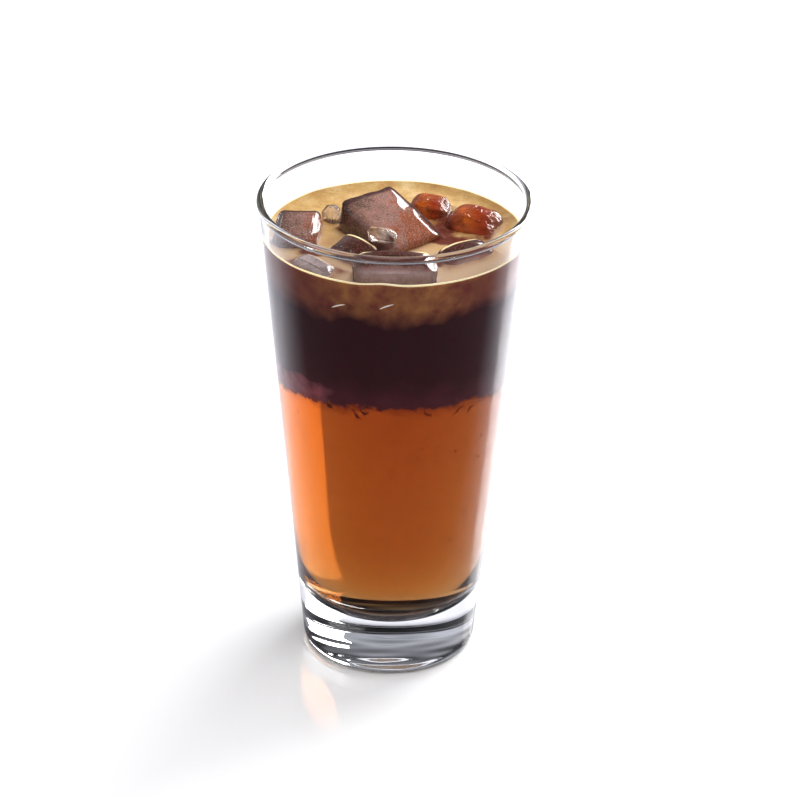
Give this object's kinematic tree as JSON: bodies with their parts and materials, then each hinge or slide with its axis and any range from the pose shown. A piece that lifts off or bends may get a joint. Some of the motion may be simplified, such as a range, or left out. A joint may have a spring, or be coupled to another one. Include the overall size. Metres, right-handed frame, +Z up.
{
  "type": "iced irish coffee in a conical tumbler",
  "caption": "Iced coffee drink in a clear conical tumbler: amber layer below, dark coffee above, thin tan crema and ice at the surface.",
  "frame": {"origin": "centre of the glass's foot, on the surface it stands on", "axes": "+Z up along the glass's axis, -Y towards the picture's camera, +X to the right in the picture"},
  "size_m": [0.086, 0.086, 0.1575],
  "materials": {
    "glass": "clear, fire-polished",
    "amber": "clear amber drink",
    "coffee": "dark coffee",
    "crema": "fine tan foam",
    "ice": "frosted and wet ice"
  },
  "bodies": {
    "root": {"glass": "glass", "amber_layer": "amber", "coffee_layer": "coffee", "crema": "crema", "ice_middle": "ice", "ice_left": "ice", "ice_back_right": "ice", "ice_right": "ice", "ice_front_left": "ice", "ice_front": "ice", "ice_front_right": "ice", "ice_low_left": "ice", "ice_chip_back": "ice", "ice_chip_left": "ice", "ice_chip_front": "ice"}
  },
  "joints": []
}
